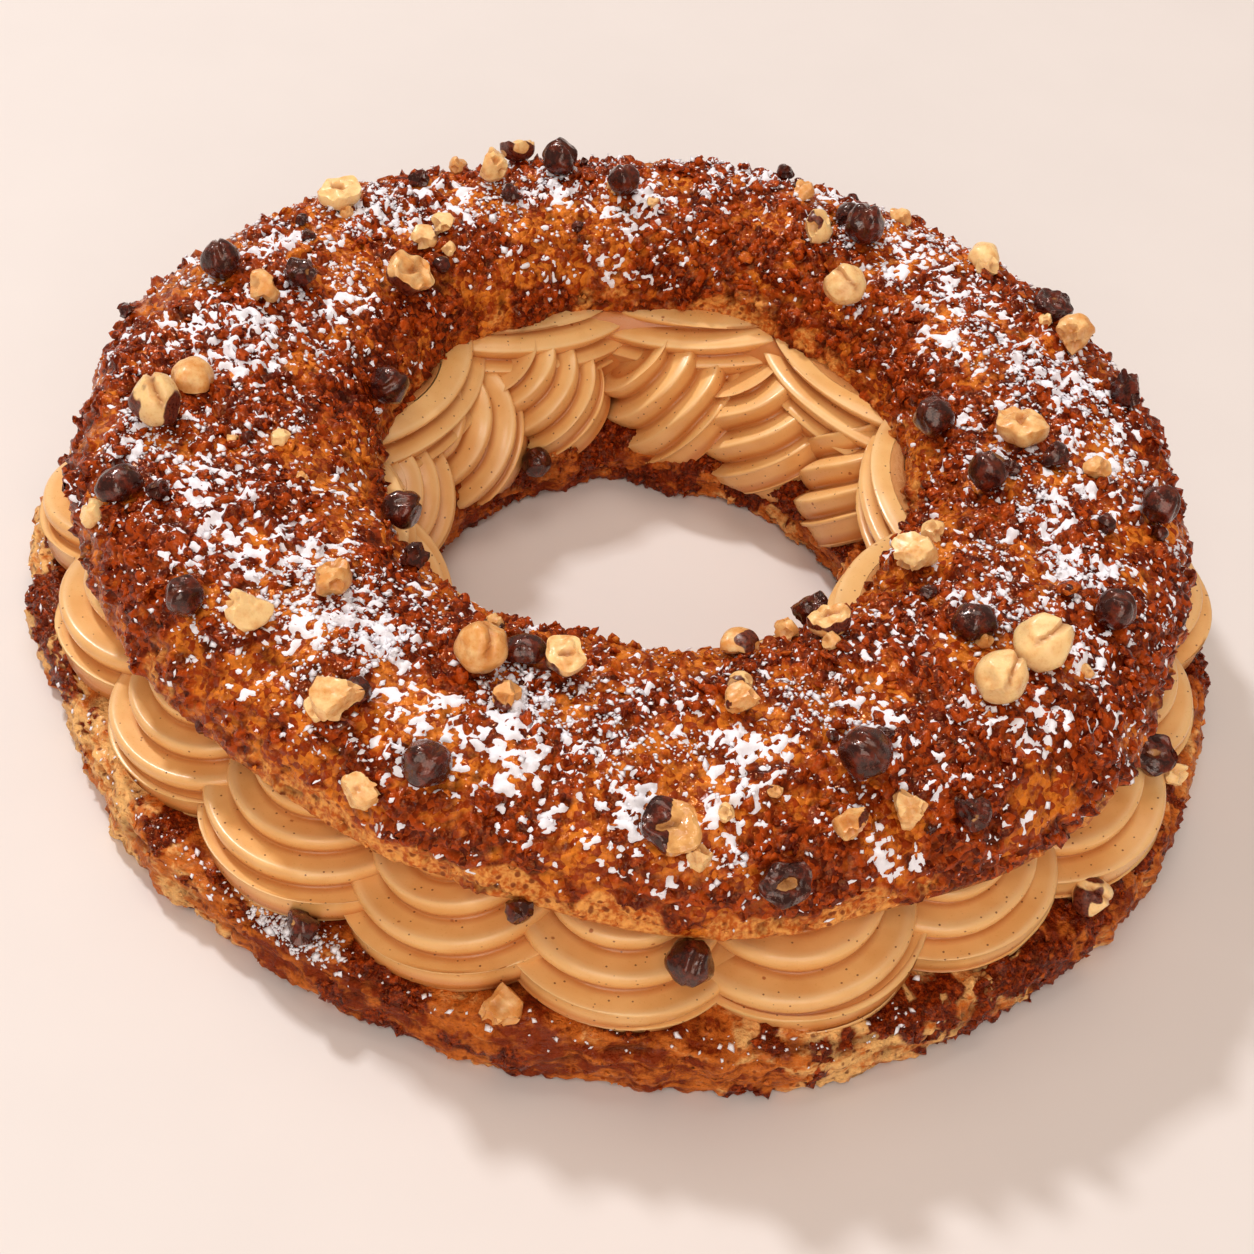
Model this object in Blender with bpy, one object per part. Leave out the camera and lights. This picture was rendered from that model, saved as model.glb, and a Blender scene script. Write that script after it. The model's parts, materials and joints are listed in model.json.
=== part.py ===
"""Paris-brest: a choux ring split in two, filled with piped praline cream and topped with hazelnuts.

The base ring, the cream and the lid are rings lofted from sections that change with the azimuth.
Azimuth is measured anticlockwise from +X, seen from above. Sizes are in millimetres until a mesh is made.
"""

import math
import random

import bmesh
import bpy
from mathutils import Matrix, Vector
from mathutils.bvhtree import BVHTree

MM = 0.001
GAP = 0.3

# Base ring
BASE_OUTER = 130.0
BASE_OUTER_WAVES = ((2, 2.0, 0.0), (3, -1.5, 1.5))
BASE_INNER = 47.5
BASE_INNER_WAVES = ((1, 2.0, 0.5), (2, 1.0, 0.0))
BASE_TOP = 14.5
BASE_COLUMNS = 80

# Lid
LID_OUTER = 118.5
LID_OUTER_WAVES = ((1, 0.0, -2.5), (2, 2.0, 0.0), (3, -2.5, 1.0))
LID_INNER = 59.5
LID_INNER_WAVES = ((1, -1.0, 4.0), (2, -2.5, 1.5))
LID_UNDERSIDE = 37.5
LID_RIM = 40.0
LID_RISE = 20.5
LID_TILT_RISE = 1.3
LID_TILT_AZIMUTH = math.radians(225)
DOME_ROUNDNESS = 0.85
DOME_ROWS = 10
LID_COLUMNS = 80

# Unevenness shared by both pieces of choux
CRUST_LUMP = 0.5
CRUST_ROUGHNESS = 0.35

# Cream: swirls piped side by side on their own upright axes, seen from outside the ring
CREAM_FOOT = BASE_TOP + GAP
CREAM_HEAD = LID_UNDERSIDE - GAP
SWIRL_COUNT = 20
SWIRL_FIRST = math.radians(4)
SWIRL_AXIS = 105.0
SWIRL_FOOT_RADIUS = 21.5
SWIRL_BELLY_RADIUS = 22.5
SWIRL_HEAD_RADIUS = 12.0
SWIRL_TURNS = 4
SWIRL_RIDGE = 1.1
SWIRL_RISE = 3.0
SWIRL_UNEVENNESS = 0.04
COLUMNS_PER_SWIRL = 7

# Cream seen from inside the hole: twisted blobs below, broader strands above
BLOB_COUNT = 13
BLOB_FIRST = math.radians(21)
BLOB_BULGE = 4.5
BLOB_RIDGES = 3
BLOB_RIDGE_DEPTH = 1.2
BLOB_TWIST = 0.55
STRAND_COUNT = 10
STRAND_FIRST = math.radians(15)
STRAND_BULGE = 4.0
TIER_HEIGHT = 29.5
INNER_FOOT = 51.5
INNER_HEAD = 57.5
INNER_ROWS = (0.0, 0.14, 0.36, 0.56, 0.66, 0.84, 1.0)

# Hazelnuts on the lid: azimuth in degrees, place across the band (-1 hole side, 1 outer side),
# size, cut and colour
LID_NUTS = (
    (142, 0.4, 9.0, "half", "light"),
    (120, 0.2, 8.5, "chip", "light"),
    (114, 0.6, 8.5, "half", "light"),
    (110, 0.2, 8.5, "whole", "dark"),
    (101, -0.2, 7.5, "whole", "dark"),
    (68, -0.3, 8.5, "chip", "light"),
    (62, -0.1, 9.0, "whole", "dark"),
    (57, -0.7, 9.5, "whole", "light"),
    (48, 0.5, 7.5, "half", "light"),
    (35, 0.5, 9.0, "half", "dark"),
    (28, 0.4, 10.0, "chip", "light"),
    (18, 0.6, 8.5, "chip", "dark"),
    (17, -0.8, 9.0, "whole", "dark"),
    (8, -0.3, 10.5, "half", "light"),
    (356, -0.5, 8.5, "whole", "dark"),
    (357, 0.6, 8.5, "whole", "dark"),
    (336, 0.5, 8.0, "whole", "dark"),
    (332, -0.7, 9.0, "chip", "light"),
    (324, 0.3, 11.0, "whole", "light"),
    (322, -0.1, 8.0, "half", "dark"),
    (316, 0.3, 10.0, "whole", "light"),
    (309, -0.9, 8.0, "half", "dark"),
    (305, -0.6, 8.0, "half", "light"),
    (305, 0.8, 8.0, "chip", "dark"),
    (299, 0.7, 9.0, "chip", "light"),
    (296, 0.4, 10.0, "whole", "dark"),
    (293, 0.7, 7.5, "chip", "light"),
    (289, -0.7, 7.5, "half", "light"),
    (286, 0.9, 8.5, "half", "dark"),
    (285, -0.1, 7.5, "chip", "light"),
    (276, 0.7, 10.0, "half", "dark"),
    (262, -0.3, 7.5, "half", "light"),
    (256, -0.3, 7.5, "half", "dark"),
    (252, -0.1, 9.5, "whole", "light"),
    (253, 0.7, 9.0, "whole", "dark"),
    (248, 0.9, 8.0, "chip", "light"),
    (242, 0.6, 10.0, "chip", "light"),
    (230, 0.0, 8.0, "chip", "light"),
    (227, 0.5, 9.5, "chip", "light"),
    (221, 0.7, 8.0, "whole", "dark"),
    (214, -0.9, 8.0, "whole", "dark"),
    (202, 0.7, 8.5, "half", "dark"),
    (193, 0.4, 11.0, "whole", "light"),
    (187, 0.2, 8.5, "half", "light"),
    (173, -0.9, 8.5, "whole", "dark"),
    (167, 0.0, 8.0, "chip", "light"),
    (164, 0.4, 8.5, "whole", "dark"),
    (161, -0.1, 8.5, "chip", "dark"),
    (148, -0.6, 10.0, "half", "light"),
)

# Hazelnuts lying against the cream: azimuth, radius, height, size, cut, colour and the way they lean
CREAM_NUTS = (
    (245, 127.0, 18.5, 8.0, "chip", "dark", 1),
    (264, 126.0, 18.0, 8.5, "chip", "light", 1),
    (279, 120.0, 34.0, 9.0, "whole", "dark", 1),
    (321, 127.0, 19.0, 8.5, "whole", "light", 1),
    (337, 124.0, 25.0, 7.5, "chip", "light", 1),
    (334, 121.0, 34.0, 9.0, "half", "dark", 1),
    (128, 48.0, 13.0, 7.5, "whole", "dark", -1),
)
NUT_SIDES = 6

COLLECTION = "paris_brest"
COLOURS = {
    "baked_choux": (0.46, 0.20, 0.06),
    "praline_cream": (0.60, 0.36, 0.17),
    "caramelised_choux": (0.30, 0.09, 0.025),
    "blanched_hazelnut": (0.76, 0.50, 0.22),
    "roasted_hazelnut": (0.075, 0.022, 0.012),
}


def clear_scene():
    for item in list(bpy.data.objects):
        bpy.data.objects.remove(item, do_unlink=True)


def make_material(name):
    material = bpy.data.materials.new(name)
    material.use_nodes = True
    shader = material.node_tree.nodes["Principled BSDF"]
    shader.inputs["Base Color"].default_value = (*COLOURS[name], 1.0)
    shader.inputs["Roughness"].default_value = 0.5
    return material


def waves(azimuth, terms):
    """Sum of cosine and sine terms, each given as (order, cosine size, sine size)."""
    return sum(c * math.cos(n * azimuth) + s * math.sin(n * azimuth) for n, c, s in terms)


def lump_terms(seed):
    """Short waves that make the outline of a piece of choux uneven."""
    chance = random.Random(seed)
    terms = []
    for order in range(5, 14):
        phase = chance.uniform(0, math.tau)
        size = CRUST_LUMP * chance.uniform(0.5, 1.0) * math.sqrt(5 / order)
        terms.append((order, size * math.cos(phase), size * math.sin(phase)))
    return terms


def loft_ring(sections):
    """Mesh data of a closed ring from one closed (radius, height) section for each azimuth."""
    columns = len(sections)
    rows = len(sections[0][1])
    points = []
    for azimuth, section in sections:
        for radius, height in section:
            points.append((radius * math.cos(azimuth), radius * math.sin(azimuth), height))
    faces = []
    for i in range(columns):
        j = (i + 1) % columns
        for k in range(rows):
            m = (k + 1) % rows
            faces.append((i * rows + k, j * rows + k, j * rows + m, i * rows + m))
    return points, faces


def base_section(azimuth, outer_lumps, inner_lumps, chance):
    """Section of the base ring, from the inner edge of its flat underside outward and round."""
    outer = BASE_OUTER + waves(azimuth, BASE_OUTER_WAVES) + waves(azimuth, outer_lumps)
    inner = BASE_INNER + waves(azimuth, BASE_INNER_WAVES) + waves(azimuth, inner_lumps)
    profile = (
        (inner + 2.0, 0.0),
        (outer - 3.5, 0.0),
        (outer - 0.8, 2.8),
        (outer, 7.0),
        (outer - 1.4, 11.5),
        (outer - 6.5, BASE_TOP),
        (inner + 7.5, BASE_TOP),
        (inner + 2.4, 11.6),
        (inner, 7.6),
        (inner + 0.3, 3.2),
    )
    flat = (0, 1, 5, 6)
    section = []
    for k, (radius, height) in enumerate(profile):
        if k not in flat:
            radius += chance.uniform(-CRUST_ROUGHNESS, CRUST_ROUGHNESS)
            height += chance.uniform(-CRUST_ROUGHNESS, CRUST_ROUGHNESS)
        section.append((radius, height))
    return section


def lid_edges(azimuth):
    """Inner radius, outer radius and height of the dome of the lid."""
    outer = LID_OUTER + waves(azimuth, LID_OUTER_WAVES)
    inner = LID_INNER + waves(azimuth, LID_INNER_WAVES)
    rise = LID_RISE + LID_TILT_RISE * math.cos(azimuth - LID_TILT_AZIMUTH)
    return inner, outer, rise


def rounded(value):
    return math.copysign(abs(value) ** DOME_ROUNDNESS, value)


def dome_point(azimuth, turn, outer_extra=0.0, inner_extra=0.0):
    """(radius, height) on the dome; turn runs from 0 at the outer rim to pi at the inner rim."""
    inner, outer, rise = lid_edges(azimuth)
    inner += inner_extra
    outer += outer_extra
    middle = (inner + outer) / 2
    radius = middle + (outer - inner) / 2 * rounded(math.cos(turn))
    return radius, LID_RIM + rise * rounded(math.sin(turn))


def lid_section(azimuth, outer_lumps, inner_lumps, chance):
    """Section of the lid: a flat underside and a dome over it."""
    outer_extra = waves(azimuth, outer_lumps)
    inner_extra = waves(azimuth, inner_lumps)
    inner, outer, _ = lid_edges(azimuth)
    section = [
        (inner + inner_extra + 3.0, LID_UNDERSIDE),
        (outer + outer_extra - 3.0, LID_UNDERSIDE),
    ]
    for k in range(DOME_ROWS):
        turn = math.pi * k / (DOME_ROWS - 1)
        radius, height = dome_point(azimuth, turn, outer_extra, inner_extra)
        radius += chance.uniform(-CRUST_ROUGHNESS, CRUST_ROUGHNESS)
        height += chance.uniform(-CRUST_ROUGHNESS, CRUST_ROUGHNESS)
        section.append((radius, height))
    return section


def choux_ring(name, columns, section_at, seed):
    outer_lumps = lump_terms(seed)
    inner_lumps = lump_terms(seed + 1)
    chance = random.Random(seed + 2)
    sections = []
    for i in range(columns):
        azimuth = math.tau * i / columns
        sections.append((azimuth, section_at(azimuth, outer_lumps, inner_lumps, chance)))
    return add_solid(name, *loft_ring(sections))


def swirl_radius(height_share):
    """Radius of one swirl about its own axis: a belly near the foot, narrowing to the head."""
    belly = 0.22
    if height_share < belly:
        blend = height_share / belly
        return SWIRL_FOOT_RADIUS + (SWIRL_BELLY_RADIUS - SWIRL_FOOT_RADIUS) * math.sin(blend * math.pi / 2)
    blend = (height_share - belly) / (1 - belly)
    return SWIRL_BELLY_RADIUS - (SWIRL_BELLY_RADIUS - SWIRL_HEAD_RADIUS) * blend ** 1.5


def swirl_sizes():
    """How far each swirl departs from the usual size, as factors near 1."""
    chance = random.Random(51)
    return [chance.uniform(1 - SWIRL_UNEVENNESS, 1 + SWIRL_UNEVENNESS) for _ in range(SWIRL_COUNT)]


def swirl_wall(column, size):
    """Outer wall of the cream at one column: crests and creases climbing round each swirl."""
    share = (column % COLUMNS_PER_SWIRL + 0.5) / COLUMNS_PER_SWIRL
    offset = (share - 0.5) * math.tau / SWIRL_COUNT
    middle = SWIRL_FIRST + math.tau * (column // COLUMNS_PER_SWIRL) / SWIRL_COUNT
    axis = SWIRL_AXIS + waves(middle, BASE_OUTER_WAVES)
    rows = 2 * SWIRL_TURNS
    wall = []
    for k in range(rows + 1):
        climb = SWIRL_RISE * (share - 0.5) * math.sin(math.pi * k / rows)
        height = CREAM_FOOT + (CREAM_HEAD - CREAM_FOOT) * k / rows + climb
        own = swirl_radius(k / rows) * size
        if 0 < k < rows:
            own += SWIRL_RIDGE if k % 2 else -SWIRL_RIDGE
        across = axis * math.sin(offset)
        reach = math.sqrt(max(own * own - across * across, 4.0))
        wall.append((axis * math.cos(offset) + reach, height))
    return wall


def lobe(azimuth, count, first):
    """Share of the way through a lobe, 0 to 1, and its roundness, 0 between lobes and 1 at the middle."""
    share = (azimuth - first) / math.tau * count + 0.5
    share -= math.floor(share)
    return share, math.sqrt(1 - (2 * share - 1) ** 2)


def hole_wall(azimuth):
    """Wall of the cream toward the hole, from the head down to the foot."""
    wall = []
    for level in reversed(INNER_ROWS):
        height = CREAM_FOOT + (CREAM_HEAD - CREAM_FOOT) * level
        radius = INNER_FOOT + (INNER_HEAD - INNER_FOOT) * level + waves(azimuth, BASE_INNER_WAVES)
        if height < TIER_HEIGHT:
            tier = (height - CREAM_FOOT) / (TIER_HEIGHT - CREAM_FOOT)
            share, roundness = lobe(azimuth, BLOB_COUNT, BLOB_FIRST)
            ridge = math.cos(math.tau * (BLOB_RIDGES * share + BLOB_TWIST * tier * BLOB_RIDGES))
            radius -= BLOB_BULGE * roundness * math.sin(math.pi * min(1, 0.25 + 0.75 * tier))
            radius -= BLOB_RIDGE_DEPTH * ridge * math.sin(math.pi * min(1, 0.15 + tier))
        else:
            tier = (height - TIER_HEIGHT) / (CREAM_HEAD - TIER_HEIGHT)
            share, roundness = lobe(azimuth, STRAND_COUNT, STRAND_FIRST)
            radius -= STRAND_BULGE * roundness * math.sin(math.pi * min(1, 0.3 + 0.7 * tier))
        wall.append((radius, height))
    return wall


def cream_ring(name):
    columns = SWIRL_COUNT * COLUMNS_PER_SWIRL
    sizes = swirl_sizes()
    sections = []
    for i in range(columns):
        azimuth = SWIRL_FIRST + math.tau * ((i + 0.5) / columns - 0.5 / SWIRL_COUNT)
        sections.append((azimuth, swirl_wall(i, sizes[i // COLUMNS_PER_SWIRL]) + hole_wall(azimuth)))
    return add_solid(name, *loft_ring(sections))


def add_solid(name, points, faces):
    """A closed mesh object in metres, made of triangles, its normals outward."""
    mesh = bpy.data.meshes.new(name)
    mesh.from_pydata([Vector(p) * MM for p in points], [], faces)
    shape = bmesh.new()
    shape.from_mesh(mesh)
    bmesh.ops.triangulate(shape, faces=shape.faces[:], quad_method="SHORT_EDGE", ngon_method="BEAUTY")
    bmesh.ops.recalc_face_normals(shape, faces=shape.faces[:])
    shape.to_mesh(mesh)
    shape.free()
    return bpy.data.objects.new(name, mesh)


def kernel_points(size, cut, chance):
    """Points on a hazelnut kernel that stands on the origin: whole, cut in half, or a broken chip."""
    height, low, point = {"whole": (0.95, 0.12, 1.0), "half": (0.6, 0.0, 0.9), "chip": (0.7, 0.06, 0.8)}[cut]
    wobble = 0.22 if cut == "chip" else 0.08
    long_way = chance.uniform(1.0, 1.08)
    points = [(0.0, 0.0, 0.0), (0.0, 0.0, height * size)]
    for level, girth in ((low, 0.72), (0.45, 1.0), (0.8, 0.66 * point)):
        for i in range(NUT_SIDES):
            angle = math.tau * (i + (0.5 if level == 0.45 else 0.0)) / NUT_SIDES
            reach = size / 2 * girth * chance.uniform(1 - wobble, 1.0)
            x = reach * long_way * math.cos(angle)
            y = reach / long_way * math.sin(angle)
            points.append((x, y, height * size * level))
    return [Vector(p) for p in points]


def hull_solid(name, points):
    shape = bmesh.new()
    for point in points:
        shape.verts.new(point * MM)
    result = bmesh.ops.convex_hull(shape, input=shape.verts[:])
    spare = [v for v in result["geom_interior"] + result["geom_unused"] if isinstance(v, bmesh.types.BMVert)]
    bmesh.ops.delete(shape, geom=list(set(spare)), context="VERTS")
    bmesh.ops.triangulate(shape, faces=shape.faces[:])
    bmesh.ops.recalc_face_normals(shape, faces=shape.faces[:])
    mesh = bpy.data.meshes.new(name)
    shape.to_mesh(mesh)
    shape.free()
    return bpy.data.objects.new(name, mesh)


def tree_of(item):
    mesh = item.data
    return BVHTree.FromPolygons([v.co for v in mesh.vertices], [p.vertices for p in mesh.polygons])


def surface_points(item):
    """The corners of a mesh, the middles of its edges and the centres of its faces."""
    mesh = item.data
    corners = [v.co.copy() for v in mesh.vertices]
    middles = [(corners[e.vertices[0]] + corners[e.vertices[1]]) / 2 for e in mesh.edges]
    return corners + middles + [p.center.copy() for p in mesh.polygons]


def clearance(item, others):
    """Least signed distance between the surface of a kernel and its neighbours, both ways round."""
    least = 1.0
    own = tree_of(item)
    points = surface_points(item)
    middle = sum(points, Vector()) / len(points)
    for tree, corners in others:
        for point in points:
            place, normal, _, distance = tree.find_nearest(point)
            side = 1 if (point - place).dot(normal) >= 0 else -1
            least = min(least, side * distance)
        for corner in corners:
            if (corner - middle).length < 12 * MM:
                place, normal, _, distance = own.find_nearest(corner)
                side = 1 if (corner - place).dot(normal) >= 0 else -1
                least = min(least, side * distance)
    return least


def settle(item, way, others):
    """Move a kernel along a direction until it stands one gap clear of its neighbours."""
    step = 0.1 * MM
    for _ in range(160):
        if clearance(item, others) >= GAP * MM:
            break
        item.data.transform(Matrix.Translation(way * step))


def neighbours(items):
    return [(tree_of(item), surface_points(item)) for item in items]


def nut_on_lid(name, index, nut, others):
    azimuth, across, size, cut, _ = nut
    azimuth = math.radians(azimuth)
    turn = math.acos(math.copysign(abs(across) ** (1 / DOME_ROUNDNESS), across))
    radius, height = dome_point(azimuth, turn)
    ahead = dome_point(azimuth, turn + 0.05)
    behind = dome_point(azimuth, turn - 0.05)
    slope = Vector((ahead[0] - behind[0], 0, ahead[1] - behind[1])).normalized()
    way = Vector((slope.z, 0, -slope.x))
    way = Matrix.Rotation(azimuth, 3, "Z") @ way
    chance = random.Random(100 + index)
    item = hull_solid(name, kernel_points(size, cut, chance))
    turn_up = way.to_track_quat("Z", "Y").to_matrix().to_4x4()
    spin = Matrix.Rotation(chance.uniform(0, math.tau), 4, "Z")
    place = Vector((radius * math.cos(azimuth), radius * math.sin(azimuth), height)) * MM
    item.data.transform(Matrix.Translation(place - way * MM) @ turn_up @ spin)
    settle(item, way, others)
    return item


def nut_on_cream(name, index, nut, others):
    azimuth, radius, height, size, cut, _, side = nut
    azimuth = math.radians(azimuth)
    way = Vector((side * math.cos(azimuth), side * math.sin(azimuth), 0.25)).normalized()
    chance = random.Random(200 + index)
    item = hull_solid(name, [p - Vector((0, 0, size / 2)) for p in kernel_points(size, cut, chance)])
    turn_up = way.to_track_quat("Z", "Y").to_matrix().to_4x4()
    spin = Matrix.Rotation(chance.uniform(0, math.tau), 4, "Z")
    place = Vector((radius * math.cos(azimuth), radius * math.sin(azimuth), height)) * MM
    item.data.transform(Matrix.Translation(place) @ turn_up @ spin)
    settle(item, way, others)
    return item


def centre_footprint(items):
    """Stand the whole pastry over the origin, as its bounding box is measured."""
    xs = [v.co.x for item in items for v in item.data.vertices]
    ys = [v.co.y for item in items for v in item.data.vertices]
    shift = Vector((-(min(xs) + max(xs)) / 2, -(min(ys) + max(ys)) / 2, 0))
    for item in items:
        item.data.transform(Matrix.Translation(shift))


def main():
    clear_scene()
    collection = bpy.data.collections.new(COLLECTION)
    bpy.context.scene.collection.children.link(collection)
    materials = {name: make_material(name) for name in COLOURS}

    base = choux_ring("choux_base", BASE_COLUMNS, base_section, 11)
    cream = cream_ring("praline_cream")
    lid = choux_ring("choux_lid", LID_COLUMNS, lid_section, 31)
    built = [(base, "baked_choux"), (cream, "praline_cream"), (lid, "caramelised_choux")]

    on_lid = neighbours([lid])
    around = neighbours([base, cream, lid])
    number = 0
    for nut in LID_NUTS + CREAM_NUTS:
        number += 1
        colour = nut[4] if len(nut) == 5 else nut[5]
        place = nut_on_lid if len(nut) == 5 else nut_on_cream
        others = on_lid if len(nut) == 5 else around
        item = place(f"hazelnut_{number:02d}", number, nut, others)
        others.extend(neighbours([item]))
        built.append((item, "blanched_hazelnut" if colour == "light" else "roasted_hazelnut"))

    centre_footprint([item for item, _ in built])
    for item, slot in built:
        item.data.materials.append(materials[slot])
        collection.objects.link(item)


main()
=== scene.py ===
"""Looks of the paris-brest: choux, piped cream, hazelnuts, crumbs and icing sugar."""

import json
import math
from itertools import product
from math import cos, pi, radians, sin

import bpy
import numpy as np
from mathutils import Matrix, Vector
from mathutils.bvhtree import BVHTree


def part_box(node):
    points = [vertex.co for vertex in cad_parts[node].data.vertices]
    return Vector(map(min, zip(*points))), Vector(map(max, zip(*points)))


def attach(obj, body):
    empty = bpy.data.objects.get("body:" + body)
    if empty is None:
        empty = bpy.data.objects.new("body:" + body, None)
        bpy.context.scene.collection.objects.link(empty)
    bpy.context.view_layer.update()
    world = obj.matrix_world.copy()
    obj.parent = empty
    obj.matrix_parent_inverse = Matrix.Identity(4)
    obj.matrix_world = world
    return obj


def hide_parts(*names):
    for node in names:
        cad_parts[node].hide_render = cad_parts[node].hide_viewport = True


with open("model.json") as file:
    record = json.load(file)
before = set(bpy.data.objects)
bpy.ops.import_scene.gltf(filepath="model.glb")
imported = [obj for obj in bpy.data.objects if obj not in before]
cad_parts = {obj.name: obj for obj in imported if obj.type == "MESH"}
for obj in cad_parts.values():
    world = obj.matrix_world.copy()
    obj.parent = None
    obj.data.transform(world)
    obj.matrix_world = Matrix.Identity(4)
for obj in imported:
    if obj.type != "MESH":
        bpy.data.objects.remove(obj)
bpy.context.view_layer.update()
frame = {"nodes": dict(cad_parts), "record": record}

# Lengths are in millimetres until a mesh is made.
MM = 0.001
TAU = math.tau

# The ring's axis: the CAD centres its bounding box, not its axis, on the origin
AXIS = np.array([1.8, 1.6, 0.0])
DOME_ROUNDNESS = 0.85
LID_COLUMNS = 740
LID_ROWS = 112
BASE_COLUMNS = 860
# The height at which the base ring is widest
BASE_WAIST = 7.0

# How many of each kind of piped cream, and the azimuth of the first
SWIRL_COUNT = 20
SWIRL_FIRST = radians(4)
# How far inside the base's outer wall the swirls stand
SWIRL_INSET = 25.5
BLOB_COUNT = 13
BLOB_FIRST = radians(36)
STRAND_COUNT = 10
STRAND_FIRST = radians(15)


# ---- noise

def scramble(x, y, z, seed):
    """Repeatable numbers from 0 to 1 for whole-number places."""
    h = (x * 374761393 + y * 668265263 + z * 1440662683 + seed * 974634777) & 0xFFFFFFFF
    h = ((h ^ (h >> 13)) * 1274126177) & 0xFFFFFFFF
    h = ((h ^ (h >> 15)) * 2246822519) & 0xFFFFFFFF
    return ((h ^ (h >> 16)) & 0xFFFFFF) / float(0xFFFFFF)


def between_corners(places, ease, seed):
    """Noise from -1 to 1 that eases from each whole-number place's own number to the next."""
    low = np.floor(places).astype(np.int64)
    f = ease(places - low)
    total = np.zeros(len(places))
    for corner in product((0, 1), repeat=3):
        x, y, z = (low + corner).T
        share = np.where(corner, f, 1 - f)
        total += share[:, 0] * share[:, 1] * share[:, 2] * scramble(x, y, z, seed)
    return total * 2 - 1


def noise(points, size, seed=0):
    """Smooth noise from -1 to 1 whose features are about the given size."""
    return between_corners(points @ TURN.T / size, lambda f: f * f * f * (f * (f * 6 - 15) + 10), seed)


def noises(points, *layers):
    """A sum of noises, each given as its weight, size and seed."""
    return sum(weight * noise(points, size, seed) for weight, size, seed in layers)


def strata(points, along, tall, seed):
    """Noise in thin level layers: long in the level directions and short in height."""
    return between_corners(points / np.array([along, along, tall]), lambda f: f * f * (3 - 2 * f), seed)


def cells(points, size, seed):
    """Distances to the two nearest of scattered seeds, in cell sizes, and the nearest one's number."""
    scaled = points / size
    low = np.floor(scaled).astype(np.int64)
    first = second = np.full(len(points), 9.0)
    number = np.zeros(len(points))
    for corner in product((-1, 0, 1), repeat=3):
        x, y, z = (low + corner).T
        own = np.stack([scramble(x, y, z, seed + k) for k in range(3)], -1)
        d = np.linalg.norm(low + corner + own - scaled, axis=1)
        nearer = d < first
        second = np.where(nearer, first, np.minimum(second, d))
        number = np.where(nearer, own[:, 0], number)
        first = np.where(nearer, d, first)
    return first, second, number


def step(low, high, value):
    t = np.clip((value - low) / (high - low), 0, 1)
    return t * t * (3 - 2 * t)


TURN = np.array(Matrix.Rotation(0.7, 3, Vector((0.3, 0.5, 0.8)).normalized()))


# ---- meshes

def shares(first, second=0.0, third=0.0):
    """Up to three shares a point, as the Look of a piece."""
    return np.stack(np.broadcast_arrays(first, second, third, 1.0), -1)


def add_object(name, data):
    made = bpy.data.objects.new(name, data)
    bpy.context.scene.collection.objects.link(made)
    return made


def new_piece(name, points, faces, look, material, nodes=(), slot=None, smooth=True, sharp=None):
    """A mesh from points and same-sided faces that rides on the pastry; sharp is the angle of its sharp edges."""
    mesh = bpy.data.meshes.new(name)
    mesh.from_pydata(points * MM, [], faces.tolist(), shade_flat=not smooth)
    if sharp:
        mesh.set_sharp_from_angle(angle=radians(sharp))
    layer = mesh.color_attributes.new(name="Look", type="FLOAT_COLOR", domain="POINT")
    layer.data.foreach_set("color", np.clip(look, 0, 1).ravel())
    mesh.materials.append(material)
    piece = add_object(name, mesh)
    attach(piece, "root")
    if nodes:
        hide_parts(*nodes)


def grid_faces(rows, columns, closed=True):
    """Quads of a grid whose points run row by row, each row a ring; the rows may close as well."""
    rr, cc = np.meshgrid(np.arange(rows if closed else rows - 1), np.arange(columns), indexing="ij")
    r2, c2 = (rr + 1) % rows, (cc + 1) % columns
    quads = np.stack([rr * columns + cc, rr * columns + c2, r2 * columns + c2, r2 * columns + cc], -1)
    return quads.reshape(-1, 4)


def to_triangles(quads):
    return np.concatenate([quads[:, [0, 1, 2]], quads[:, [0, 2, 3]]])


def unit(vectors):
    return vectors / np.linalg.norm(vectors, axis=-1, keepdims=True)


def grid_normals(grid):
    """Outward normals of a closed (rows, columns, 3) grid."""
    along = np.roll(grid, -1, 1) - np.roll(grid, 1, 1)
    over = np.roll(grid, -1, 0) - np.roll(grid, 1, 0)
    normal = np.cross(along, over)
    return normal / (np.linalg.norm(normal, axis=-1, keepdims=True) + 1e-9)


def sample(grid, row, column):
    """Values of a grid closed in its columns, between its points."""
    rows, columns = grid.shape[:2]
    r0 = np.clip(np.floor(row).astype(int), 0, rows - 2)
    c0 = np.floor(column).astype(int)
    fr, fc = (row - r0)[:, None], (column - c0)[:, None]
    c0, c1 = c0 % columns, (c0 + 1) % columns
    top = grid[r0, c0] * (1 - fc) + grid[r0, c1] * fc
    low = grid[r0 + 1, c0] * (1 - fc) + grid[r0 + 1, c1] * fc
    return top * (1 - fr) + low * fr


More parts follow.
